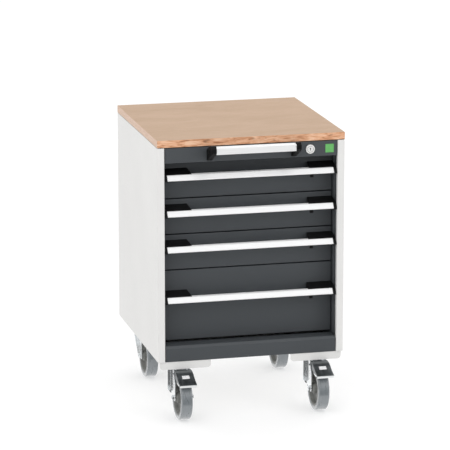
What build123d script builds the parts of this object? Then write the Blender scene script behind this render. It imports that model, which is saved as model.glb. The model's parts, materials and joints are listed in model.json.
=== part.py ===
from build123d import *
import math
import os

# Mobile workbench cabinet with four drawers on swivel castors. Millimetres, +Z up.
# The origin is on the floor under the middle of the whole object, and the drawers face -Y.

# ---- driving dimensions ----
WIDTH = 525.0            # housing, side to side
DEPTH = 525.0            # housing, front to back
HOUSING_HEIGHT = 600.0
WORKTOP_THICKNESS = 20.0
CASTOR_HEIGHT = 165.0    # floor to the underside of the housing
FRONT_REACH = 72.0       # how far the brake pedals stand in front of the housing

SHEET = 1.5              # folded steel of the housing
TRAY_SHEET = 1.2         # thinner steel of the drawer trays
BEND = 2.5               # outer bend radius of folded steel

FLANGE = 20.0            # visible width of each side panel's front edge
DRAWER_RECESS = 52.0     # drawer faces behind the housing's front plane
DRAWER_GAP = 3.0         # between two drawer faces
DRAWER_HEIGHTS = [200.0, 100.0, 100.0, 100.0]    # from the bottom up
FIRST_DRAWER = 47.0      # bottom of the lowest drawer above the housing's underside

PLINTH_HEIGHT = 44.0
FASCIA_BOTTOM = 556.0    # above the housing's underside
SHADOW_GAP = 1.2         # between the side panels and the worktop

GRIP_DROP = {200.0: 117.0, 100.0: 59.0}   # grip strip's lower edge above its drawer's bottom
GRIP_HEIGHT = 17.0
GRIP_SLOPE = 14.0        # top edge of the strip behind its lower edge
GRIP_HALF = 233.5        # half the strip's length

WHEEL_RADIUS = 62.5
TRAIL = 40.0             # wheel axle in front of the swivel axis
SWIVEL_X = 194.0         # swivel axes left and right of the middle
SWIVEL_INSET = 45.0      # swivel axes behind the front plane and before the back plane
RUN = 0.05               # radial clearance of turning fits

# ---- derived planes ----
FRONT = FRONT_REACH - (DEPTH + FRONT_REACH) / 2
BACK = FRONT + DEPTH
SIDE = WIDTH / 2
OPENING = SIDE - FLANGE
BASE = CASTOR_HEIGHT
HOUSING_TOP = BASE + HOUSING_HEIGHT
FACE = FRONT + DRAWER_RECESS
FACE_HALF = OPENING - 1.5


def block(x, y, z):
    """Box between three (low, high) pairs."""
    sizes = [high - low for low, high in (x, y, z)]
    middle = [(high + low) / 2 for low, high in (x, y, z)]
    return Pos(*middle) * Box(*sizes)


def both_sides(solid):
    """A solid and its mirror image across the middle plane."""
    return [solid, mirror(solid, about=Plane.YZ)]


def folded(points, thickness, length, plane, bend=BEND):
    """Sheet folded along points, kept to the right of them; bend is one radius or one per corner."""
    path = FilletPolyline(*points, radius=bend)
    outline = offset(path, amount=thickness, side=Side.RIGHT)
    return extrude(plane * make_face(outline.edges()), amount=length)


def profile(points, x):
    """Solid with a (y, z) outline between two x planes."""
    face = make_face(Polyline(*points, close=True))
    return extrude(Plane.YZ.offset(x[0]) * face, amount=x[1] - x[0])


def rod(radius, start, end):
    """Round bar from start to end."""
    axis = Vector(*end) - Vector(*start)
    plane = Plane(origin=start, z_dir=axis)
    return extrude(plane * Circle(radius), amount=axis.length)


def hexagon(across_flats, start, end):
    """Hexagonal bar from start to end."""
    axis = Vector(*end) - Vector(*start)
    plane = Plane(origin=start, z_dir=axis)
    return extrude(plane * RegularPolygon(across_flats / 2, 6, major_radius=False), amount=axis.length)


def turned(points):
    """Solid turned about +Z from (radius, height) points."""
    face = make_face(Polyline(*points, close=True))
    return revolve(Plane.XZ * face, axis=Axis.Z)


# ---- housing ----
def worktop():
    slab = block((-SIDE, SIDE), (FRONT, BACK), (HOUSING_TOP, HOUSING_TOP + WORKTOP_THICKNESS))
    return fillet(slab.edges(), 1.0)


def side_panel():
    """Left panel: a wall with a folded front flange and return, and a rear flange."""
    lip = 12.0
    rear_flange = 18.0
    points = [
        (-OPENING, FRONT + lip),
        (-OPENING, FRONT),
        (-SIDE, FRONT),
        (-SIDE, BACK),
        (-SIDE + rear_flange, BACK),
    ]
    return folded(points, SHEET, HOUSING_HEIGHT - SHADOW_GAP, Plane.XY.offset(BASE))


def back_panel():
    """Flat sheet behind the rear flanges, with a shallow stiffening frame pressed in."""
    gap = 1.6
    rear = BACK - SHEET - 0.2
    half = SIDE - SHEET - gap
    sheet = block((-half, half), (rear - SHEET, rear), (BASE + 2, HOUSING_TOP - 2))
    swage = 6.0
    y = (rear - 0.6, rear)

    def inset_block(inset):
        return block((-half + inset, half - inset), y, (BASE + inset, HOUSING_TOP - inset))

    for inset in (55.0, 67.0):
        sheet -= inset_block(inset) - inset_block(inset + swage)
    return sheet


def top_panel():
    """Cover sheet under the worktop, folded down at both sides."""
    half = SIDE - SHEET - 0.1
    fold = 16.0
    points = [
        (-half, HOUSING_TOP - fold),
        (-half, HOUSING_TOP),
        (half, HOUSING_TOP),
        (half, HOUSING_TOP - fold),
    ]
    y = (FRONT + 12.5, BACK - 4)
    return folded(points, SHEET, y[1] - y[0], Plane.XZ.offset(-y[1]))


def base_panel():
    """Floor sheet, folded up at both sides."""
    half = SIDE - SHEET - 0.1
    fold = 20.0
    points = [
        (half, BASE + fold),
        (half, BASE),
        (-half, BASE),
        (-half, BASE + fold),
    ]
    y = (FRONT + 23, BACK - 4)
    return folded(points, SHEET, y[1] - y[0], Plane.XZ.offset(-y[1]))


def plinth():
    """Folded kick plate: bottom return, face, bevel, ledge and a lip turned down at the back."""
    y = FRONT + 1.5
    top = BASE + PLINTH_HEIGHT
    bevel = 6.0
    points = [
        (FRONT + 22.5, BASE),
        (y, BASE),
        (y, top - bevel),
        (y + bevel, top),
        (FRONT + 50, top),
        (FRONT + 50, top - 14),
    ]
    half = OPENING - 2
    return folded(points, SHEET, 2 * half, Plane.YZ.offset(-half), bend=2.0)


LOCK_X = 164.5
LOCK_Z = BASE + 577.0
LOCK_HOLE = 10.7


def top_fascia():
    """Folded strip for the push handle, the lock and the badge, with a lip down to the top drawer."""
    y = FRONT + 1.5
    bottom = BASE + FASCIA_BOTTOM
    top = HOUSING_TOP - 2
    rear_lip = 7.5
    points = [
        (FRONT + 50, bottom - rear_lip),
        (FRONT + 50, bottom),
        (y, bottom),
        (y, top),
        (FRONT + 16, top),
    ]
    half = OPENING - 2
    strip = folded(points, SHEET, 2 * half, Plane.YZ.offset(-half), bend=2.0)
    hole = rod(LOCK_HOLE, (LOCK_X, FRONT - 5, LOCK_Z), (LOCK_X, FRONT + 10, LOCK_Z))
    return strip - hole


INNER_BOTTOM = BASE + 24.0
INNER_TOP = BASE + 575.0


def inner_wall():
    """Left inner wall, a channel open to the outside, with a shallow step behind the front flange."""
    outside = -SIDE + 2
    step = 3.5
    start = FRONT + 13
    points = [
        (outside, start),
        (-OPENING - step, start),
        (-OPENING - step, FRONT + 38),
        (-OPENING, FRONT + 38),
        (-OPENING, BACK - 6),
        (outside, BACK - 6),
    ]
    height = INNER_TOP - INNER_BOTTOM
    return folded(points[::-1], SHEET, height, Plane.XY.offset(INNER_BOTTOM), bend=1.6)


def badge():
    """Small blank plate at the right of the fascia."""
    size = 23.5
    x = 219.5
    y = FRONT + 1.5
    z = BASE + 577.0
    plate = block((x - size / 2, x + size / 2), (y - 0.8, y), (z - size / 2, z + size / 2))
    return fillet(plate.edges().filter_by(Axis.Y), 1.2)


def lock_housing():
    """Threaded barrel with a round bezel, turned about the lock's axis."""
    bore = 8.0 + RUN
    points = [(bore, -3), (11.5, -3), (12.5, -2), (12.5, 1.5), (10.5, 1.5), (10.5, 24), (bore, 24)]
    body = turned(points)
    return Pos(LOCK_X, FRONT, LOCK_Z) * Rot(-90, 0, 0) * body


def lock_cylinder():
    """Turning core with a keyway in its face and a cam behind the housing."""
    core = turned([(0, -2.4), (7.4, -2.4), (8, -1.8), (8, 29), (0, 29)])
    core = Pos(LOCK_X, FRONT, LOCK_Z) * Rot(-90, 0, 0) * core
    core -= block((LOCK_X - 0.9, LOCK_X + 0.9), (FRONT - 5, FRONT + 6), (LOCK_Z - 3.6, LOCK_Z + 3.6))
    core -= rod(1.7, (LOCK_X, FRONT - 5, LOCK_Z + 2.2), (LOCK_X, FRONT + 6, LOCK_Z + 2.2))
    cam = block((LOCK_X - 5, LOCK_X + 5), (FRONT + 26, FRONT + 29), (LOCK_Z - 6, LOCK_Z + 20))
    return core + cam


# ---- push handle ----
PUSH_HALF = 111.0
PUSH_CAP = 14.5
PUSH_REACH = 55.0


def push_handle_bar():
    """Aluminium bar with rounded edges and a top face that falls to the front."""
    y = FRONT - PUSH_REACH
    points = [
        (y, BASE + 585),
        (y, BASE + 603),
        (y + 13, BASE + 606),
        (y + 17, BASE + 603),
        (y + 17, BASE + 588),
        (y + 13, BASE + 585),
    ]
    face = make_face(Polyline(*points, close=True))
    face = fillet(face.vertices(), 1.6)
    bar = extrude(Plane.YZ.offset(-PUSH_HALF) * face, amount=2 * PUSH_HALF)
    groove = block((-PUSH_HALF, PUSH_HALF), (y + 4.4, y + 5.2), (BASE + 603.4, BASE + 607))
    return bar - groove


def push_handle_bracket():
    """Left bracket: an eight-sided arm from the fascia to the bar, with a screw recess."""
    foot = FRONT + 1.5
    tip = FRONT - PUSH_REACH - 2
    points = [
        (foot, BASE + 560),
        (foot, BASE + 590),
        (FRONT - 36, BASE + 608),
        (tip + 7, BASE + 608),
        (tip, BASE + 601),
        (tip, BASE + 590),
        (tip + 8, BASE + 583),
        (foot - 4, BASE + 560),
    ]
    outer = -PUSH_HALF - PUSH_CAP
    arm = profile(points, (outer, -PUSH_HALF))
    arm = chamfer(arm.faces().sort_by(Axis.X)[0].edges(), 1.2)
    recess = rod(4.0, (outer - 1, FRONT - 33, BASE + 590), (outer + 2, FRONT - 33, BASE + 590))
    arm -= recess
    return arm


# ---- drawers ----
def drawer_levels():
    """(bottom, top) of each drawer face, from the lowest drawer up."""
    levels = []
    bottom = BASE + FIRST_DRAWER
    for height in DRAWER_HEIGHTS:
        levels.append((bottom, bottom + height))
        bottom += height
    return levels


PAN = 14.0               # depth of a drawer's front pan


def drawer_front(bottom, top):
    """Pressed pan, open at the back, with rounded upright edges."""
    z = (bottom + DRAWER_GAP / 2, top - DRAWER_GAP / 2)
    outside = block((-FACE_HALF, FACE_HALF), (FACE, FACE + PAN), z)
    front_edges = outside.faces().sort_by(Axis.Y)[0].edges()
    outside = fillet(front_edges, 1.8)
    half = FACE_HALF - SHEET
    inside = block((-half, half), (FACE + SHEET, FACE + PAN), (z[0] + SHEET, z[1] - SHEET))
    return outside - inside


TRAY_HALF = 229.3
TRAY_LENGTH = 434.0
TRAY_LIFT = 8.0          # tray floor above the drawer face's bottom
RIM = 3.0                # folded-over rim of the tray walls


def tray_height(drawer_height):
    return drawer_height - 28.0


def drawer_tray(bottom, height):
    """Open steel box with a rim folded inwards around its top."""
    y = (FACE + PAN, FACE + PAN + TRAY_LENGTH)
    low = bottom + TRAY_LIFT
    high = low + tray_height(height)
    t = TRAY_SHEET
    box = block((-TRAY_HALF, TRAY_HALF), y, (low, high))
    box = fillet(box.edges().filter_by(Axis.Z), 2.0)
    cavity = block((-TRAY_HALF + t, TRAY_HALF - t), (y[0] + t, y[1] - t), (low + t, high - 5))
    mouth = block((-TRAY_HALF + RIM, TRAY_HALF - RIM), (y[0] + RIM, y[1] - RIM), (low + t, high))
    return box - cavity - mouth


def grip_low(bottom, height):
    return bottom + GRIP_DROP[height]


def drawer_grip(low):
    """Aluminium section: a floor behind the sloping strip, and a rounded top edge turned back."""
    top = low + GRIP_HEIGHT
    points = [
        (FACE, low),
        (FRONT + 0.5, low),
        (FRONT + GRIP_SLOPE - 3, top - 2.5),
        (FRONT + GRIP_SLOPE + 3, top),
        (FRONT + GRIP_SLOPE + 8, top - 3),
    ]
    section = folded(points, 2.0, 2 * GRIP_HALF, Plane.YZ.offset(-GRIP_HALF), bend=2.05)
    slot_x = (LATCH_X - LATCH_WIDTH / 2 - 0.4, LATCH_X + LATCH_WIDTH / 2 + 0.4)
    return section - block(slot_x, (FRONT + 8.5, FRONT + 24), (low - 1, low + 4))


WING_FRONT = 69.5        # length of an end cap's wing along the strip
WING_BACK = 63.5         # and along the drawer face


def end_cap(low):
    """Left end cap: a cheek past the strip's end and a wing that slopes up to the drawer face."""
    top = low + GRIP_HEIGHT
    rise = 9.0
    cheek = profile(
        [
            (FACE, low - 0.8),
            (FRONT - 0.3, low - 0.8),
            (FRONT - 0.3, low + 0.8),
            (FRONT + GRIP_SLOPE - 3.6, top - 1.6),
            (FRONT + GRIP_SLOPE + 2.5, top + 1.0),
            (FACE, top + rise),
        ],
        (-FACE_HALF, -GRIP_HALF),
    )
    wing_outline = make_face(
        Polyline(
            (-GRIP_HALF, FRONT + GRIP_SLOPE - 2),
            (-GRIP_HALF + WING_FRONT, FRONT + GRIP_SLOPE - 2),
            (-GRIP_HALF + WING_BACK, FACE),
            (-GRIP_HALF, FACE),
            close=True,
        )
    )
    wing = extrude(Plane.XY.offset(low + 2.2) * wing_outline, amount=GRIP_HEIGHT + rise)
    slope = profile(
        [
            (FRONT + 5, low + 2.2),
            (FRONT + GRIP_SLOPE - 3, top - 2.6),
            (FRONT + GRIP_SLOPE + 3, top + 0.2),
            (FACE, top + rise),
            (FACE, low + 2.2),
        ],
        (-GRIP_HALF, 0),
    )
    return cheek + (wing & slope)


LATCH_X = 173.0
LATCH_WIDTH = 9.0
LATCH_PIVOT_Y = FRONT + 16.5
LATCH_PIVOT_LIFT = 8.0   # pivot above the grip's lower edge
STUD = 1.6               # radius of the latch's pivot studs


def latch_pivot(low):
    return (LATCH_PIVOT_Y, low + LATCH_PIVOT_LIFT)


def end_caps(low):
    """Both end caps; the right one is hollowed for the latch and bored for its studs."""
    section = drawer_grip(low)
    left = end_cap(low) - section
    right = mirror(left, about=Plane.YZ)
    y, z = latch_pivot(low)
    pocket_x = (LATCH_X - LATCH_WIDTH / 2 - 0.4, LATCH_X + LATCH_WIDTH / 2 + 0.4)
    right -= block(pocket_x, (FRONT + 8.5, FRONT + 25), (low - 1, low + 14.2))
    reach = LATCH_WIDTH / 2 + 2.2
    right -= rod(STUD + RUN, (LATCH_X - reach, y, z), (LATCH_X + reach, y, z))
    return [left, right]


def latch(low):
    """Release lever: a round boss with a pivot stud each side and a tab through the grip's floor."""
    y, z = latch_pivot(low)
    half = LATCH_WIDTH / 2
    lever = rod(3.6, (LATCH_X - half, y, z), (LATCH_X + half, y, z))
    lever += rod(STUD, (LATCH_X - half - 2, y, z), (LATCH_X + half + 2, y, z))
    tab = profile(
        [(y - 3.2, z), (y + 3.2, z), (y + 0.5, low - 8), (y - 3, low - 11), (y - 5.5, low - 9)],
        (LATCH_X - half, LATCH_X + half),
    )
    return lever + tab


RAIL_LENGTH = 430.0
RAIL_START = FACE + PAN + 2


def rail_height(bottom, height):
    return bottom + TRAY_LIFT + (22.0 if height < 150 else 55.0)


def fixed_rail(z):
    """Left cabinet rail: a channel with lips, open towards the drawer."""
    web = block((-OPENING, -OPENING + SHEET), (RAIL_START, RAIL_START + RAIL_LENGTH), (z - 19, z + 19))
    for side in (-1, 1):
        edge = z + side * 19
        inner = edge - side * SHEET
        flange_z = tuple(sorted((edge, inner)))
        web += block((-OPENING, -OPENING + 11), (RAIL_START, RAIL_START + RAIL_LENGTH), flange_z)
        lip_z = tuple(sorted((edge, edge - side * 5)))
        web += block((-OPENING + 9.5, -OPENING + 11), (RAIL_START, RAIL_START + RAIL_LENGTH), lip_z)
    return web


def sliding_rail(z):
    """Left drawer rail: a stem through the channel's mouth with a wider foot behind its lips."""
    y = (RAIL_START, RAIL_START + RAIL_LENGTH - 6)
    stem = block((-OPENING + 4.5, -TRAY_HALF), y, (z - 12.5, z + 12.5))
    foot = block((-OPENING + 4.5, -OPENING + 8.5), y, (z - 16, z + 16))
    groove = block((-OPENING + 4.5, -OPENING + 11), (y[0] - 1, y[1] + 1), (z - 10.5, z + 10.5))
    return stem + foot - groove


# ---- castors ----
BRACKET = 3.0            # thickness of the castor brackets' sheet
PLATE = 3.0              # thickness of the castors' top plates
PLATE_TOP = BASE - BRACKET
PLATE_BOLTS = [(x, y) for x in (-38, 38) for y in (-25, 25)]    # about the swivel axis
CROWN_TOP = 140.5
CROWN = 3.0              # thickness of the fork's crown
FORK_INNER = 20.0        # half the gap between the fork's legs
LEG = 3.0                # thickness of a leg
KINGPIN = 6.0            # radius
AXLE = 4.0               # radius
TREAD_HALF = 16.0


def castor_bracket(lip):
    """Sheet above the front-left castor, with a front lip that has rounded lower corners."""
    x = (-SIDE + 5, -SIDE + 149)
    y = (FRONT + 4, FRONT + 84)
    if lip == 0:
        return block(x, y, (PLATE_TOP, BASE))
    shell = block(x, y, (BASE - lip, BASE))
    shell = fillet(shell.edges().filter_by(Axis.Y).sort_by(Axis.Z)[:2], 9.0)
    return shell - block((x[0] - 1, x[1] + 1), (y[0] + BRACKET, y[1] + 1), (BASE - lip - 1, PLATE_TOP))


def castor_plate():
    """Top plate with its bearing cup and riveted kingpin, about the swivel axis."""
    low = PLATE_TOP - PLATE
    plate = block((-50, 50), (-35, 35), (low, PLATE_TOP))
    plate = fillet(plate.edges().filter_by(Axis.Z), 8.0)
    for x, y in PLATE_BOLTS:
        plate -= rod(4.5, (x, y, low - 1), (x, y, PLATE_TOP + 1))
    cup = turned([(0, low), (25, low), (27.5, low - 4), (27.5, 147), (24, 145.8), (0, 145.8)])
    below_crown = CROWN_TOP - CROWN - 0.4
    head = [(KINGPIN, below_crown), (10.5, below_crown), (9, 132), (0, 132)]
    pin = turned([(0, 150), (KINGPIN, 150)] + head)
    return plate + cup + pin


def plate_bolt():
    """Hexagon bolt through the top plate and the bracket's web, about its own axis."""
    low = PLATE_TOP - PLATE
    head = hexagon(13, (0, 0, low - 5.5), (0, 0, low))
    return head + rod(4.0, (0, 0, low), (0, 0, PLATE_TOP))


def crown():
    """Round-nosed top of the fork with a raised ball race."""
    disc = rod(36, (0, 0, CROWN_TOP - CROWN), (0, 0, CROWN_TOP))
    band = (-FORK_INNER - LEG, FORK_INNER + LEG)
    disc &= block(band, (-36, 36), (CROWN_TOP - CROWN, CROWN_TOP))
    race = turned([(21, CROWN_TOP), (27, CROWN_TOP), (26, 145.3), (22, 145.3)])
    race &= block((-30, 30), (-30, 30), (CROWN_TOP, 146))
    disc += race
    return disc - rod(KINGPIN + RUN, (0, 0, 130), (0, 0, 150))


LEG_END = 10.0           # radius of a leg's round end about the axle


def leg(points, x):
    """Fork leg with a (y, z) outline and a round end about the axle."""
    plate = profile(points, x)
    plate += rod(LEG_END, (x[0], -TRAIL, WHEEL_RADIUS), (x[1], -TRAIL, WHEEL_RADIUS))
    return plate - rod(AXLE + RUN, (x[0] - 1, -TRAIL, WHEEL_RADIUS), (x[1] + 1, -TRAIL, WHEEL_RADIUS))


PEDAL_PIVOT = (-28.0, 127.0)
PEDAL_STUD = 2.5


def braked_fork():
    """Fork with upright legs, each stiffened by a flange turned out at the rear."""
    rear = 9.0
    points = [
        (rear, CROWN_TOP),
        (rear, WHEEL_RADIUS + 10),
        (-TRAIL + 7, WHEEL_RADIUS - 7),
        (-TRAIL - LEG_END, WHEEL_RADIUS),
        (-TRAIL - 8, 104),
        (-36, 128),
        (-34, CROWN_TOP),
    ]
    x = (-FORK_INNER - LEG, -FORK_INNER)
    left = leg(points, x)
    left -= rod(PEDAL_STUD + RUN, (x[0] - 1, *PEDAL_PIVOT), (x[1] + 1, *PEDAL_PIVOT))
    wide = x[0] - 8.0
    rib = make_face(
        Polyline(
            (x[0], CROWN_TOP),
            (wide, CROWN_TOP),
            (wide, WHEEL_RADIUS + 11),
            (x[0], WHEEL_RADIUS + 1),
            close=True,
        )
    )
    left += extrude(Plane.XZ.offset(-rear) * rib, amount=LEG)
    left += block(x, (rear - LEG, rear), (WHEEL_RADIUS + 1, WHEEL_RADIUS + 12))
    return crown() + left + mirror(left, about=Plane.YZ)


def plain_fork():
    """Fork with legs that narrow towards the axle, and a flange turned out along the rear edge."""
    top = (34.0, CROWN_TOP - 12)
    foot = (-TRAIL + LEG_END, WHEEL_RADIUS)
    points = [
        (top[0], CROWN_TOP),
        top,
        foot,
        (-TRAIL - LEG_END, WHEEL_RADIUS),
        (-TRAIL - 6, 104),
        (-36, CROWN_TOP),
    ]
    x = (-FORK_INNER - LEG, -FORK_INNER)
    left = leg(points, x)
    run = Vector(foot[0] - top[0], foot[1] - top[1]).normalized()
    across = Vector(run.Y, -run.X) * LEG
    rib = profile(
        [
            top,
            foot,
            (foot[0] + across.X, foot[1] + across.Y),
            (top[0] + across.X, top[1] + across.Y),
        ],
        (x[0] - 7, x[0]),
    )
    left += rib
    return crown() + left + mirror(left, about=Plane.YZ)


def axle_bolt():
    """Axle bolt with its head and nut outside the fork legs."""
    outer = FORK_INNER + LEG
    centre = (-TRAIL, WHEEL_RADIUS)
    bolt = rod(AXLE, (-outer, *centre), (outer, *centre))
    for side in (-1, 1):
        bolt += rod(8.0, (side * outer, *centre), (side * (outer + 1.2), *centre))
        bolt += hexagon(13, (side * (outer + 1.2), *centre), (side * (outer + 7), *centre))
        bolt += rod(AXLE, (side * (outer + 7), *centre), (side * (outer + 8.5), *centre))
    return bolt


def wheel_solid(points):
    """Solid of revolution about the axle from (radius, half-width) points."""
    return Pos(0, -TRAIL, WHEEL_RADIUS) * Rot(0, 90, 0) * turned(points)


RIM_RADIUS = 50.0


def wheel_core():
    """Moulded centre: hub tube, thin disc and rim."""
    bore = AXLE + RUN
    hub = 19.0
    upper = [(bore, hub), (11, hub), (14, hub - 3), (15.5, 5.5), (40, 3.8), (44, 14), (RIM_RADIUS, 14)]
    lower = [(radius, -width) for radius, width in reversed(upper)]
    return wheel_solid(upper + lower)


def wheel_tyre():
    """Grey tread ring with rounded shoulders."""
    shoulder = 5.0
    arc = []
    for step in range(7):
        angle = math.radians(15 * step)
        radius = WHEEL_RADIUS - shoulder + shoulder * math.sin(angle)
        arc.append((radius, TREAD_HALF - shoulder + shoulder * math.cos(angle)))
    upper = [(RIM_RADIUS, 14), (RIM_RADIUS + 1.5, TREAD_HALF)] + arc
    lower = [(radius, -width) for radius, width in reversed(upper)]
    return wheel_solid(upper + lower)


def brake_pedal():
    """Curved foot plate over the wheel, with a turned-down lip, side skirts and two pivot ears."""
    tip = -SWIVEL_INSET - FRONT_REACH
    half = 24.0
    points = [
        (-40, 140.5),
        (-60, 139.5),
        (-74, 134),
        (-92, 124),
        (tip + 2, 117),
        (tip, 111),
    ]
    bends = [2.6, 130, 80, 55]
    plate = folded(points[::-1], 2.5, 2 * half, Plane.YZ.offset(-half), bend=bends)
    skirt = profile(
        [(-60, 137), (-74, 131.5), (-92, 123), (-110, 116.5), (-98, 111), (-80, 113), (-60, 122)],
        (-half, -half + 2),
    )
    y, z = PEDAL_PIVOT
    ear_x = (-19.4, -17.4)
    ear = profile([(-41, 138.2), (-60, 137.2), (y - 5, z - 5), (y - 2, z + 5)], ear_x)
    ear += rod(7, (ear_x[0], y, z), (ear_x[1], y, z))
    ear += rod(PEDAL_STUD, (ear_x[0] - 5, y, z), (ear_x[0], y, z))
    pad = block((-10.5, 10.5), (-1.2, 1.2), (-6.5, 6.5))
    for offset_z in (-2.2, 2.2):
        pad -= block((-8.5, 8.5), (-2, -0.5), (offset_z - 0.9, offset_z + 0.9))
    (rear_y, rear_z), (front_y, front_z) = points[2:4]
    slope = math.degrees(math.atan2(rear_z - front_z, rear_y - front_y))
    middle = Pos(0, (rear_y + front_y) / 2, (rear_z + front_z) / 2 + 0.3)
    pad = middle * Rot(slope - 90, 0, 0) * pad
    left = ear + skirt
    return plate + left + mirror(left, about=Plane.YZ) + pad


# ---- assembly ----
def save(name, shape):
    """Write one node: a solid, or a list of separate solids."""
    if isinstance(shape, list):
        shape = Compound(children=[part for item in shape for part in item.solids()])
    export_step(shape, f"parts/{name}.step")


CASTORS = {
    "front_left": (-SWIVEL_X, FRONT + SWIVEL_INSET),
    "front_right": (SWIVEL_X, FRONT + SWIVEL_INSET),
    "rear_left": (-SWIVEL_X, BACK - SWIVEL_INSET),
    "rear_right": (SWIVEL_X, BACK - SWIVEL_INSET),
}


def save_housing():
    save("worktop", worktop())
    left = side_panel()
    save("side_panel_left", left)
    save("side_panel_right", mirror(left, about=Plane.YZ))
    save("back_panel", back_panel())
    save("top_panel", top_panel())
    save("base_panel", base_panel())
    save("plinth", plinth())
    save("top_fascia", top_fascia())
    save("inner_walls", both_sides(inner_wall()))
    save("push_handle_bar", push_handle_bar())
    save("push_handle_brackets", both_sides(push_handle_bracket()))
    save("lock_housing", lock_housing())
    save("lock_cylinder", lock_cylinder())
    save("badge_plate", badge())


def save_drawers():
    rails = []
    count = len(DRAWER_HEIGHTS)
    for index, (bottom, top) in enumerate(drawer_levels()):
        height = top - bottom
        low = grip_low(bottom, height)
        name = f"drawer_{count - index}"
        z = rail_height(bottom, height)
        rails += both_sides(fixed_rail(z))
        save(f"{name}_front", drawer_front(bottom, top))
        save(f"{name}_tray", drawer_tray(bottom, height))
        save(f"{name}_grip", drawer_grip(low))
        save(f"{name}_end_caps", end_caps(low))
        save(f"{name}_latch", latch(low))
        save(f"{name}_rails", both_sides(sliding_rail(z)))
    save("cabinet_rails", rails)


def save_castors():
    turn = Pos(0, FRONT + BACK, 0) * Rot(0, 0, 180)
    rears = [turn * bracket for bracket in both_sides(castor_bracket(0))]
    save("castor_brackets", both_sides(castor_bracket(22.0)) + rears)
    plates = []
    bolts = []
    for name, (x, y) in CASTORS.items():
        place = Pos(x, y, 0)
        braked = name.startswith("front")
        plates.append(place * castor_plate())
        bolts += [Pos(x + bolt_x, y + bolt_y, 0) * plate_bolt() for bolt_x, bolt_y in PLATE_BOLTS]
        save(f"castor_{name}_fork", place * (braked_fork() if braked else plain_fork()))
        save(f"castor_{name}_axle", place * axle_bolt())
        save(f"castor_{name}_wheel", place * wheel_core())
        save(f"castor_{name}_tyre", place * wheel_tyre())
        if braked:
            save(f"castor_{name}_pedal", place * brake_pedal())
    save("castor_plates", plates)
    save("castor_bolts", bolts)


os.makedirs("parts", exist_ok=True)
save_housing()
save_drawers()
save_castors()
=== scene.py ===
import json
import math

import bmesh
import bpy
from mathutils import Matrix, Vector


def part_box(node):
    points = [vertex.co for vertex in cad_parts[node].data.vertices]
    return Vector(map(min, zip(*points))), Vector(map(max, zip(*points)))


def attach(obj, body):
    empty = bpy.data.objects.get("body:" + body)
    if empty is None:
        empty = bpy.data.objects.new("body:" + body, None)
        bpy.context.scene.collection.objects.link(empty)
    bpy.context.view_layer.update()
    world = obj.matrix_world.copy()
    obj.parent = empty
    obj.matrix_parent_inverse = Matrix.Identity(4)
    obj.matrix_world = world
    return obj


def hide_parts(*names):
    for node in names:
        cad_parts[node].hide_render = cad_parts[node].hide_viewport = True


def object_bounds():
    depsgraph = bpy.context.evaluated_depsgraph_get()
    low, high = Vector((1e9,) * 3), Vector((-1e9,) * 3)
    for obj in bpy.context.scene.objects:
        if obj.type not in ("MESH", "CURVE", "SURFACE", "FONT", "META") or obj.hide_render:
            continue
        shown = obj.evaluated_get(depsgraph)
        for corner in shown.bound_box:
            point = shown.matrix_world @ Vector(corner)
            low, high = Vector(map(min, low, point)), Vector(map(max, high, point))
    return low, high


# Mobile workbench cabinet with four drawers. Metres, in the CAD model's frame: the drawers face -Y.

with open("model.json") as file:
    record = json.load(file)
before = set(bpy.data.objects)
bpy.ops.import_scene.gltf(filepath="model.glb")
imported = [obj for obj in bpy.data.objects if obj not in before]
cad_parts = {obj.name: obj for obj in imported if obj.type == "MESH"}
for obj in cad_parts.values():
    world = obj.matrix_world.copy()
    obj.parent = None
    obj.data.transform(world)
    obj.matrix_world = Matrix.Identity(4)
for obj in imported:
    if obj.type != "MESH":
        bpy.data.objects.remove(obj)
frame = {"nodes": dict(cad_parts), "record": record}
cad_low, cad_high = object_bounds()
MM = 0.001

SLOT_OF = {part["node"]: part["material_slot"] for part in frame["record"]["subparts"]}
BODY_OF = {
    node: body
    for body, nodes in frame["record"]["behaviour"]["bodies"].items()
    for node in nodes
}
CASTORS = ("front_left", "front_right", "rear_left", "rear_right")
DRAWERS = (1, 2, 3, 4)


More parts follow.
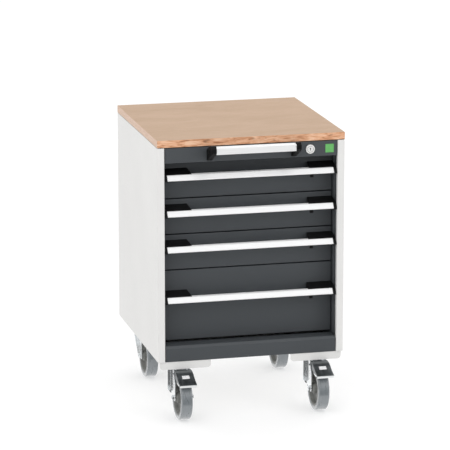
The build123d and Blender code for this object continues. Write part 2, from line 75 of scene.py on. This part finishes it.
# ---- material helpers ----
class Graph:
    """A material's node tree, with a short call for each node."""

    def __init__(self, name, **shader_values):
        self.material = bpy.data.materials.new(name)
        self.material.use_nodes = True
        self.tree = self.material.node_tree
        self.shader = self.tree.nodes["Principled BSDF"]
        for socket, value in shader_values.items():
            self.shader.inputs[socket.replace("_", " ")].default_value = value
        self.place = self.tree.nodes.new("ShaderNodeTexCoord")

    def add(self, kind, settings=None, **inputs):
        """A new node; an input named i0, i1 ... is taken by its number."""
        made = self.tree.nodes.new("ShaderNode" + kind)
        for key, value in (settings or {}).items():
            setattr(made, key, value)
        for key, value in inputs.items():
            numbered = key[0] == "i" and key[1:].isdigit()
            socket = made.inputs[int(key[1:]) if numbered else key.replace("_", " ")]
            if isinstance(value, bpy.types.NodeSocket):
                self.tree.links.new(value, socket)
            else:
                socket.default_value = value
        return made

    def math(self, operation, *values):
        inputs = {f"i{i}": value for i, value in enumerate(values)}
        return self.add("Math", {"operation": operation}, **inputs).outputs[0]

    def noise(self, scale, stretch=(1, 1, 1), detail=3.0, rough=0.5, turn=(0, 0, 0), distortion=0.0):
        """Noise over the object's own coordinates, scale in waves per metre."""
        mapping = self.add("Mapping", Vector=self.place.outputs["Object"], Scale=stretch, Rotation=turn)
        inputs = {"Vector": mapping.outputs[0], "Scale": scale, "Detail": detail}
        return self.add("TexNoise", Roughness=rough, Distortion=distortion, **inputs).outputs["Fac"]

    def ramp(self, value, *stops):
        """Colours at positions, or grey levels given as plain numbers."""
        made = self.add("ValToRGB", Fac=value)
        elements = made.color_ramp.elements
        while len(elements) < len(stops):
            elements.new(0.5)
        for element, (position, colour) in zip(elements, stops):
            element.position = position
            if not isinstance(colour, tuple):
                colour = (colour, colour, colour)
            element.color = (*colour, 1)
        return made.outputs[0]

    def mix(self, factor, first, second, blend="MIX"):
        made = self.add("Mix", {"data_type": "RGBA", "blend_type": blend})
        for number, value in ((0, factor), (6, first), (7, second)):
            socket = made.inputs[number]
            if isinstance(value, bpy.types.NodeSocket):
                self.tree.links.new(value, socket)
            else:
                socket.default_value = (*value, 1) if isinstance(value, tuple) else value
        return made.outputs[2]

    def set(self, socket, value):
        self.tree.links.new(value, self.shader.inputs[socket])

    def bump(self, height, distance, strength=1.0):
        made = self.add("Bump", Height=height, Distance=distance, Strength=strength)
        self.set("Normal", made.outputs[0])


def shades(colour, *factors):
    return [tuple(channel * factor for channel in colour) for factor in factors]


def powder_coat(name, colour, roughness, texture=0.00006):
    """Baked powder paint: orange peel, fine pits, and a faint drift of tone."""
    g = Graph(name)
    drift = g.noise(5.0, detail=2.0)
    dark, light = shades(colour, 0.98, 1.02)
    tone = g.ramp(drift, (0.30, dark), (0.70, light))
    peel = g.noise(650.0, detail=2.0)
    speck = g.ramp(g.noise(2600.0, detail=1.0), (0.38, 0.93), (0.52, 1.0))
    g.set("Base Color", g.mix(1.0, tone, speck, "MULTIPLY"))
    spread = g.ramp(g.noise(90.0), (0.25, roughness - 0.05), (0.75, roughness + 0.06))
    g.set("Roughness", spread)
    g.bump(peel, texture)
    return g.material


def plywood(name):
    """Sealed plywood: mottled face veneer, streaked front and back edges, and pale side edges."""
    g = Graph(name, Specular_IOR_Level=0.35)
    position = g.add("SeparateXYZ", Vector=g.place.outputs["Object"])
    facing = g.add("SeparateXYZ", Vector=g.place.outputs["Normal"])

    patches = g.noise(6.0, (1.0, 2.2, 1.0), detail=5.0, rough=0.55, distortion=0.6)
    face = g.ramp(
        patches,
        (0.30, (0.508, 0.338, 0.215)),
        (0.50, (0.541, 0.366, 0.240)),
        (0.72, (0.574, 0.392, 0.264)),
    )
    fibres = g.noise(60.0, (0.35, 7.0, 1.0), detail=6.0, rough=0.65, turn=(0, 0, 0.05), distortion=0.4)
    face = g.mix(1.0, face, g.ramp(fibres, (0.30, 0.955), (0.62, 1.01)), "MULTIPLY")
    pores = g.noise(420.0, (0.16, 2.4, 1.0), detail=2.0)
    face = g.mix(1.0, face, g.ramp(pores, (0.28, 0.84), (0.40, 1.0)), "MULTIPLY")

    slanted = g.noise(26.0, (1.0, 1.0, 5.5), detail=4.0, rough=0.6, turn=(0, 0.32, 0), distortion=0.8)
    front = g.ramp(
        slanted,
        (0.30, (0.300, 0.110, 0.048)),
        (0.40, (0.540, 0.250, 0.125)),
        (0.49, (0.730, 0.390, 0.225)),
        (0.66, (0.860, 0.550, 0.365)),
    )
    knots = g.ramp(g.noise(34.0, (1.0, 1.0, 2.0), detail=1.0), (0.25, 0.55), (0.34, 1.0))
    front = g.mix(1.0, front, knots, "MULTIPLY")
    end_grain = g.noise(60.0, (1.0, 0.6, 7.0), detail=4.0)
    side = g.ramp(end_grain, (0.30, (0.600, 0.410, 0.300)), (0.65, (0.730, 0.540, 0.420)))

    ply = 1.54 * MM
    within = g.math("PINGPONG", g.math("DIVIDE", position.outputs["Z"], ply), 1.0)
    lines = g.ramp(within, (0.0, 0.80), (0.20, 0.97), (0.80, 1.0), (1.0, 0.88))
    sideways = g.math("GREATER_THAN", g.math("ABSOLUTE", facing.outputs["X"]), 0.7)
    edge = g.mix(1.0, g.mix(sideways, front, side), lines, "MULTIPLY")
    upright = g.ramp(g.math("ABSOLUTE", facing.outputs["Z"]), (0.62, 0.0), (0.78, 1.0))
    g.set("Base Color", g.mix(upright, edge, face))
    g.set("Roughness", g.ramp(fibres, (0.3, 0.58), (0.7, 0.44)))
    g.bump(g.mix(0.5, fibres, pores), 0.00018, 0.7)
    return g.material


def zinc(name):
    """Bright zinc plate on pressed steel: cloudy crystals and fine drawing marks."""
    g = Graph(name, Metallic=1.0)
    cloud = g.noise(120.0, detail=5.0, rough=0.6, distortion=0.6)
    dull, bright = (0.800, 0.825, 0.845), (0.935, 0.945, 0.945)
    g.set("Base Color", g.ramp(cloud, (0.30, dull), (0.72, bright)))
    g.set("Roughness", g.ramp(g.noise(320.0, detail=4.0), (0.3, 0.15), (0.7, 0.25)))
    g.bump(g.noise(900.0, (1.0, 1.0, 0.25), detail=3.0), 0.000012)
    return g.material


def pedal_steel(name):
    """Dark plated steel, drawn along the pedal, with a painted highlight: the lip, low down on the
    pedal, is painted near white.
    """
    g = Graph(name, Metallic=1.0)
    low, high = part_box("castor_front_left_pedal")
    height = g.add("SeparateXYZ", Vector=g.place.outputs["Object"]).outputs["Z"]
    level = g.math("DIVIDE", g.math("SUBTRACT", height, low.z), high.z - low.z)
    # Painted highlight: the lowest part of the pedal, its lip, is painted near white.
    lip_highlight = g.ramp(level, (0.17, 1.0), (0.22, 0.0))
    cloud = g.noise(150.0, (1.0, 0.2, 0.2), detail=4.0, rough=0.5)
    # Dark tone: partly the pedal's own dark finish, partly painted shade for the dark surroundings that
    # its top reflects.
    plate = g.ramp(cloud, (0.30, (0.135, 0.150, 0.158)), (0.70, (0.200, 0.215, 0.222)))
    g.set("Base Color", g.mix(lip_highlight, plate, (0.90, 0.92, 0.92)))
    g.set("Roughness", g.ramp(cloud, (0.3, 0.28), (0.7, 0.36)))
    g.bump(g.noise(700.0, (1.0, 0.25, 0.25), detail=3.0), 0.00004)
    return g.material


def aluminium(name):
    """Anodised extrusion with drawing lines along X."""
    g = Graph(name, Metallic=0.30)
    lines = g.noise(900.0, (0.012, 1.0, 1.0), detail=4.0, rough=0.6)
    g.set("Base Color", g.ramp(lines, (0.30, (0.92, 0.925, 0.93)), (0.70, (0.975, 0.975, 0.975))))
    g.set("Roughness", g.ramp(lines, (0.30, 0.30), (0.70, 0.42)))
    g.bump(lines, 0.00003)
    return g.material


def black_plastic(name):
    """Moulded black plastic with a fine spark-eroded grain."""
    g = Graph(name, Specular_IOR_Level=0.14)
    grain = g.noise(1500.0, detail=2.0)
    deep, worn = (0.004, 0.004, 0.004), (0.008, 0.008, 0.009)
    g.set("Base Color", g.ramp(g.noise(45.0), (0.3, deep), (0.7, worn)))
    g.set("Roughness", g.ramp(grain, (0.3, 0.45), (0.7, 0.62)))
    g.bump(grain, 0.00006)
    return g.material


def nickel(name):
    """Satin nickel with turning marks round the lock's axis."""
    g = Graph(name, Metallic=0.25)
    middle = (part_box("lock_cylinder")[0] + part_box("lock_cylinder")[1]) / 2
    low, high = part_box("lock_housing")
    centre = ((low.x + high.x) / 2, middle.y, (low.z + high.z) / 2)
    offset = g.add("VectorMath", {"operation": "SUBTRACT"}, i0=g.place.outputs["Object"], i1=centre)
    flat = g.add("VectorMath", {"operation": "MULTIPLY"}, i0=offset.outputs[0], i1=(1.0, 0.0, 1.0))
    radius = g.add("VectorMath", {"operation": "LENGTH"}, i0=flat.outputs[0]).outputs["Value"]
    turning = g.add("TexNoise", {"noise_dimensions": "1D"}, W=radius, Scale=9000.0, Detail=2.0)
    rings = turning.outputs["Fac"]
    g.set("Base Color", g.ramp(rings, (0.3, (0.93, 0.925, 0.915)), (0.7, (0.975, 0.97, 0.96))))
    g.set("Roughness", g.ramp(rings, (0.3, 0.24), (0.7, 0.38)))
    g.bump(rings, 0.00002)
    return g.material


def green_plate(name):
    """Blank enamelled plate."""
    g = Graph(name, Coat_Weight=0.3, Coat_Roughness=0.1)
    cloud = g.noise(80.0)
    g.set("Base Color", g.ramp(cloud, (0.3, (0.115, 0.420, 0.110)), (0.7, (0.150, 0.490, 0.140))))
    g.set("Roughness", g.ramp(g.noise(700.0), (0.3, 0.32), (0.7, 0.42)))
    g.bump(g.noise(1300.0), 0.00002)
    return g.material


def wheel_plastic(name):
    """Warm grey polyamide with a matt moulded skin."""
    g = Graph(name)
    cloud = g.noise(50.0, detail=4.0)
    g.set("Base Color", g.ramp(cloud, (0.3, (0.150, 0.153, 0.145)), (0.7, (0.200, 0.203, 0.193))))
    g.set("Roughness", g.ramp(g.noise(400.0), (0.3, 0.45), (0.7, 0.60)))
    g.bump(g.noise(1100.0), 0.00005)
    return g.material


def grey_rubber(name):
    """Glossy grey tread compound with a faint dusty mottle."""
    g = Graph(name, Specular_IOR_Level=1.0, Coat_Weight=1.0, Coat_Roughness=0.10)
    dust = g.noise(38.0, (3.0, 1.0, 1.0), detail=5.0, rough=0.65)
    tone = g.ramp(dust, (0.3, (0.150, 0.170, 0.184)), (0.7, (0.176, 0.197, 0.212)))
    specks = g.ramp(g.noise(800.0, detail=1.0), (0.30, 0.80), (0.42, 1.0))
    g.set("Base Color", g.mix(1.0, tone, specks, "MULTIPLY"))
    g.set("Roughness", g.ramp(dust, (0.3, 0.24), (0.7, 0.36)))
    g.bump(g.noise(1400.0, detail=3.0), 0.00003)
    return g.material


MATERIALS = {
    "plywood": plywood("plywood"),
    "light_grey_paint": powder_coat("light_grey_paint", (0.752, 0.747, 0.735), 0.50),
    "anthracite_paint": powder_coat("anthracite_paint", (0.061, 0.068, 0.075), 0.44),
    "tray_paint": powder_coat("tray_paint", (0.56, 0.57, 0.57), 0.52),
    "zinc_plate": zinc("zinc_plate"),
    "pedal_steel": pedal_steel("pedal_steel"),
    "aluminium": aluminium("aluminium"),
    "black_plastic": black_plastic("black_plastic"),
    "nickel": nickel("nickel"),
    "green_plate": green_plate("green_plate"),
    "wheel_plastic": wheel_plastic("wheel_plastic"),
    "grey_rubber": grey_rubber("grey_rubber"),
}


# ---- mesh helpers ----
WELD = 0.002 * MM
FLAT = math.radians(0.5)
EASED_FROM = math.radians(34)
SHADED_SHARP_FROM = math.radians(32)


def add_piece(name, bm, body, slot, replaced=()):
    """Turn a bmesh into a smooth-shaded piece that rides on a body."""
    bmesh.ops.recalc_face_normals(bm, faces=bm.faces)
    mesh = bpy.data.meshes.new(name)
    bm.to_mesh(mesh)
    bm.free()
    mesh.shade_smooth()
    mesh.set_sharp_from_angle(angle=SHADED_SHARP_FROM)
    piece = bpy.data.objects.new(name, mesh)
    bpy.context.scene.collection.objects.link(piece)
    piece.data.materials.append(MATERIALS[slot])
    normals = piece.modifiers.new("even_normals", "WEIGHTED_NORMAL")
    normals.keep_sharp = True
    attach(piece, body)
    if replaced:
        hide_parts(*replaced)
    return piece


def eased_copy(node, width):
    """A copy of a CAD node with its sharp edges rounded off by width."""
    bm = bmesh.new()
    bm.from_mesh(frame["nodes"][node].data)
    bmesh.ops.remove_doubles(bm, verts=bm.verts, dist=WELD)
    bmesh.ops.dissolve_limit(bm, angle_limit=FLAT, verts=bm.verts, edges=bm.edges)
    sharp = [
        edge
        for edge in bm.edges
        if len(edge.link_faces) == 2 and edge.calc_face_angle(0) > EASED_FROM
    ]
    bmesh.ops.bevel(
        bm, geom=sharp, offset=width, segments=2, profile=0.5, affect="EDGES", clamp_overlap=True
    )
    return add_piece(f"{node}_eased", bm, BODY_OF[node], SLOT_OF[node], [node])


def ring_about_x(bm, centre, profile, segments=128):
    """Closed ring about the line along X through centre, from (radius, x) points."""
    rings = []
    for step in range(segments):
        angle = 2 * math.pi * step / segments
        across, up = math.cos(angle), math.sin(angle)
        rings.append([bm.verts.new(centre + Vector((x, r * across, r * up))) for r, x in profile])
    for ring, following in zip(rings, rings[1:] + rings[:1]):
        for i in range(len(profile)):
            j = (i + 1) % len(profile)
            bm.faces.new((ring[i], ring[j], following[j], following[i]))


def arc(centre, radius, start, end, steps=6):
    """Points of a round corner as (radius, x), angles in degrees from the outward direction."""
    points = []
    for step in range(steps + 1):
        angle = math.radians(start + (end - start) * step / steps)
        points.append((centre[0] + radius * math.cos(angle), centre[1] + radius * math.sin(angle)))
    return points


# ---- castor wheels ----
def tyre(name):
    """Tread ring with round shoulders, a side groove and a faint mould line."""
    node = f"castor_{name}_tyre"
    low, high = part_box(node)
    rim_low, rim_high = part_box(f"castor_{name}_wheel")
    centre = (low + high) / 2
    outer, half = (high.z - low.z) / 2, (high.x - low.x) / 2
    inner = (rim_high.z - rim_low.z) / 2
    shoulder = 5 * MM
    right = arc((outer - shoulder, half - shoulder), shoulder, 6, 90, 8)
    groove = [
        (inner + 4.6 * MM, half),
        (inner + 4.2 * MM, half - 0.7 * MM),
        (inner + 3.0 * MM, half - 0.7 * MM),
        (inner + 2.6 * MM, half),
        (inner + 0.9 * MM, half),
        (inner, half - 0.9 * MM),
    ]
    mould = [(outer, 0.3 * MM), (outer - 0.15 * MM, 0.9 * MM), (outer - 0.05 * MM, half - shoulder)]
    side = mould + right + groove
    profile = side + [(radius, -x) for radius, x in reversed(side)]
    bm = bmesh.new()
    ring_about_x(bm, centre, profile)
    return add_piece(f"{node}_tread", bm, BODY_OF[node], SLOT_OF[node], [node])


def wheel_centre(name):
    """Moulded wheel centre: rim, dished disc with a raised ring, and hub."""
    node = f"castor_{name}_wheel"
    low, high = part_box(node)
    centre = (low + high) / 2
    outer, half = (high.z - low.z) / 2, (high.x - low.x) / 2
    bore = 4.05 * MM
    side = [
        (outer, 14.6 * MM),
        (outer - 0.6 * MM, 15.2 * MM),
        (outer - 4.6 * MM, 15.2 * MM),
        (outer - 5.6 * MM, 14.2 * MM),
        (outer - 8.6 * MM, 6.2 * MM),
        (outer - 10.5 * MM, 4.9 * MM),
        (outer - 14.0 * MM, 4.7 * MM),
        (outer - 14.6 * MM, 5.4 * MM),
        (outer - 16.4 * MM, 5.4 * MM),
        (outer - 17.0 * MM, 4.8 * MM),
        (19.0 * MM, 5.8 * MM),
        (16.4 * MM, 7.2 * MM),
        (14.6 * MM, half - 4.0 * MM),
        (12.8 * MM, half - 2.6 * MM),
        (11.6 * MM, half - 0.4 * MM),
        (11.0 * MM, half),
        (bore, half),
    ]
    profile = side + [(radius, -x) for radius, x in reversed(side)]
    bm = bmesh.new()
    ring_about_x(bm, centre, profile)
    return add_piece(f"{node}_moulding", bm, BODY_OF[node], SLOT_OF[node], [node])


# ---- small parts ----
def prism(bm, outline, depth, place):
    """Closed prism from an outline of (x, z) points, front face at y 0, moved by place."""
    front = [bm.verts.new(place(Vector((x, 0, z)))) for x, z in outline]
    back = [bm.verts.new(place(Vector((x, depth, z)))) for x, z in outline]
    bm.faces.new(front)
    bm.faces.new(back[::-1])
    for i in range(len(outline)):
        j = (i + 1) % len(outline)
        bm.faces.new((front[i], back[i], back[j], front[j]))


def rounded_outline(width, height, radius, steps=5):
    """Rectangle with round corners, as (x, z) points."""
    points = []
    for corner, (sx, sz) in enumerate(((1, 1), (-1, 1), (-1, -1), (1, -1))):
        for step in range(steps + 1):
            angle = math.radians(90 * corner + 90 * step / steps)
            x = sx * (width / 2 - radius) + radius * math.cos(angle)
            z = sz * (height / 2 - radius) + radius * math.sin(angle)
            points.append((x, z))
    return points


def keyway():
    """Black slot-shaped insert set just behind the lock core's face: painted shade for the dark inside
    of the keyway.
    """
    low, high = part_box("lock_housing")
    core_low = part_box("lock_cylinder")[0]
    x, z = (low.x + high.x) / 2, (low.z + high.z) / 2
    bm = bmesh.new()
    deep = core_low.y + 0.5 * MM
    thick = 1.5 * MM
    slot, eye = Vector((x, deep, z)), Vector((x, deep, z + 2.2 * MM))
    # Painted shade: a black piece where the keyway would only be dark from shade.
    prism(bm, rounded_outline(1.7 * MM, 7.0 * MM, 0.5 * MM), thick, lambda p: p + slot)
    prism(bm, rounded_outline(3.2 * MM, 3.2 * MM, 1.55 * MM), thick, lambda p: p + eye)
    add_piece("lock_keyway_shade", bm, BODY_OF["lock_cylinder"], "black_plastic")


def lock_shade_ring():
    """Thin grey ring lying in the joint round the lock core: painted shade for the shadow in that
    joint.
    """
    low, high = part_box("lock_housing")
    centre = Vector(((low.x + high.x) / 2, low.y, (low.z + high.z) / 2))
    inner, outer, proud = 8.15 * MM, 8.9 * MM, 0.12 * MM
    profile = [
        (outer, -0.6 * MM),
        (outer, 0),
        (outer - proud, proud),
        (inner + proud, proud),
        (inner, 0),
        (inner, -0.6 * MM),
    ]
    bm = bmesh.new()
    ring_about_x(bm, Vector((0, 0, 0)), profile)
    bmesh.ops.rotate(bm, verts=bm.verts, matrix=Matrix.Rotation(math.radians(-90), 3, "Z"))
    bmesh.ops.translate(bm, verts=bm.verts, vec=centre)
    # Painted shade: a grey ring standing in for the shadow in the joint round the core.
    add_piece("lock_shade_ring", bm, BODY_OF["lock_housing"], "wheel_plastic")


def pedal_pad(side):
    """Blank bright plate pressed on the pedal, with two ribs across it."""
    pedal = f"castor_front_{side}_pedal"
    low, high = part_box(pedal)
    fall, run = 10.0, 18.0
    slope = math.atan2(fall, run)
    middle = Vector(((low.x + high.x) / 2, low.y + 34.0 * MM, low.z + 20.9 * MM))
    along = Vector((0, -math.cos(slope), -math.sin(slope)))
    outward = Vector((0, -math.sin(slope), math.cos(slope)))

    def place(p):
        return middle + Vector((p.x, 0, 0)) + along * -p.z - outward * p.y

    bm = bmesh.new()
    prism(bm, rounded_outline(20.5 * MM, 12.5 * MM, 1.2 * MM), 1.0 * MM, place)
    rib_outline = rounded_outline(15.0 * MM, 1.8 * MM, 0.85 * MM)
    for rib in (-2.6 * MM, 2.6 * MM):
        prism(bm, rib_outline, 0.8 * MM, lambda p: place(p + Vector((0, -0.6 * MM, rib))))
    add_piece(f"{pedal}_pad", bm, BODY_OF[pedal], "aluminium")


# ---- the object ----
# How far each node's sharp edges are rounded off, in millimetres.
EASED = {
    "side_panel_left": 0.4,
    "side_panel_right": 0.4,
    "back_panel": 0.2,
    "plinth": 0.4,
    "top_fascia": 0.4,
    "push_handle_bar": 0.4,
    "push_handle_brackets": 0.8,
    "lock_housing": 0.3,
    "badge_plate": 0.25,
    "castor_brackets": 0.5,
    "castor_plates": 0.5,
    "castor_bolts": 0.4,
}


def build_object():
    """Give every CAD node its finish, and stand finer pieces in for most of them."""
    for name, node in frame["nodes"].items():
        for material_slot in node.material_slots:
            material_slot.material = MATERIALS[SLOT_OF[name]]
    for node, width in EASED.items():
        eased_copy(node, width * MM)
    for number in DRAWERS:
        eased_copy(f"drawer_{number}_front", 0.4 * MM)
        eased_copy(f"drawer_{number}_grip", 0.4 * MM)
        eased_copy(f"drawer_{number}_end_caps", 0.5 * MM)
        eased_copy(f"drawer_{number}_tray", 0.3 * MM)
    for name in CASTORS:
        eased_copy(f"castor_{name}_fork", 0.7 * MM)
        eased_copy(f"castor_{name}_axle", 0.5 * MM)
        tyre(name)
        wheel_centre(name)
    for side in ("left", "right"):
        eased_copy(f"castor_front_{side}_pedal", 0.7 * MM)
        pedal_pad(side)
    keyway()
    lock_shade_ring()


# ---- studio ----
def level_sheet(name, low, high, height):
    """One rectangle facing up, between two (x, y) corners: part of the studio, not of the object."""
    bm = bmesh.new()
    corners = ((low[0], low[1]), (high[0], low[1]), (high[0], high[1]), (low[0], high[1]))
    bm.faces.new([bm.verts.new((x, y, height)) for x, y in corners])
    mesh = bpy.data.meshes.new(name)
    bm.to_mesh(mesh)
    bm.free()
    sheet = bpy.data.objects.new(name, mesh)
    bpy.context.scene.collection.objects.link(sheet)
    return sheet


def surround():
    """White surround whose light is weaker low in front of the cabinet; the camera sees it white."""
    bpy.context.scene.view_settings.view_transform = "Standard"

    world = bpy.data.worlds.new("studio")
    bpy.context.scene.world = world
    world.use_nodes = True
    tree = world.node_tree
    direction = tree.nodes.new("ShaderNodeTexCoord").outputs["Generated"]
    ahead = tree.nodes.new("ShaderNodeVectorMath")
    ahead.operation = "DOT_PRODUCT"
    ahead.inputs[1].default_value = Vector((0.0, -1.0, -0.35)).normalized()
    fade = tree.nodes.new("ShaderNodeMapRange")
    fade.inputs["From Min"].default_value = 0.72
    fade.inputs["From Max"].default_value = 0.95
    fade.inputs["To Min"].default_value = 1.0
    fade.inputs["To Max"].default_value = 0.10
    background = tree.nodes["Background"]
    background.inputs["Color"].default_value = (1.0, 1.0, 1.0, 1.0)
    tree.links.new(direction, ahead.inputs[0])
    tree.links.new(ahead.outputs["Value"], fade.inputs["Value"])
    seen = tree.nodes.new("ShaderNodeLightPath")
    strength = tree.nodes.new("ShaderNodeMath")
    strength.operation = "MAXIMUM"
    tree.links.new(fade.outputs["Result"], strength.inputs[0])
    tree.links.new(seen.outputs["Is Camera Ray"], strength.inputs[1])
    tree.links.new(strength.outputs[0], background.inputs["Strength"])


def pale_floor():
    """Floor that glows a little, so that only contact shadows show; reflections don't see it."""
    reach = 20.0
    floor = level_sheet("floor", (-reach, -reach), (reach, reach), 0)
    g = Graph("pale_floor", Specular_IOR_Level=0.0, Emission_Strength=0.50)
    g.shader.inputs["Emission Color"].default_value = (1.0, 1.0, 1.0, 1.0)
    g.set("Base Color", g.ramp(g.noise(1.5), (0.3, 0.545), (0.7, 0.565)))
    g.set("Roughness", g.ramp(g.noise(30.0), (0.3, 0.8), (0.7, 0.9)))
    floor.data.materials.append(g.material)
    floor.visible_glossy = False


def floor_card():
    """The patch of floor close to the wheels, seen only in reflections."""
    margin = 0.10
    low, high = (cad_low.x, cad_low.y - margin), (cad_high.x, cad_high.y + margin)
    card = level_sheet("floor_card", low, high, -0.5 * MM)
    card.data.materials.append(bpy.data.materials["pale_floor"])
    for rays in ("camera", "diffuse", "shadow", "transmission", "volume_scatter"):
        setattr(card, f"visible_{rays}", False)


def area_light(name, position, target, size, power):
    """Round soft light aimed at a target."""
    data = bpy.data.lights.new(name, "AREA")
    data.shape = "DISK"
    data.size = size
    data.energy = power
    lamp = bpy.data.objects.new(name, data)
    lamp.location = position
    lamp.rotation_euler = (Vector(target) - Vector(position)).to_track_quat("-Z", "Y").to_euler()
    bpy.context.scene.collection.objects.link(lamp)


def camera():
    """Long lens from the front left, a little above the worktop, with no shift."""
    azimuth, elevation = math.radians(-13.8), math.radians(13.27)
    distance = 8.05
    aim = Vector((-0.019, 0.0, 0.488))
    towards = Vector(
        (
            math.sin(azimuth) * math.cos(elevation),
            -math.cos(azimuth) * math.cos(elevation),
            math.sin(elevation),
        )
    )
    data = bpy.data.cameras.new("camera")
    data.lens = 229.7
    data.sensor_width = 36.0
    eye = bpy.data.objects.new("camera", data)
    eye.location = aim + towards * distance
    eye.rotation_euler = (-towards).to_track_quat("-Z", "Y").to_euler()
    bpy.context.scene.collection.objects.link(eye)
    bpy.context.scene.camera = eye


camera()
build_object()
surround()
pale_floor()
floor_card()
area_light("key", (-2.4, -3.6, 3.4), (0, 0, 0.3), 2.4, 22)
area_light("fill", (3.2, -3.4, 2.2), (0, 0, 0.4), 2.4, 20)
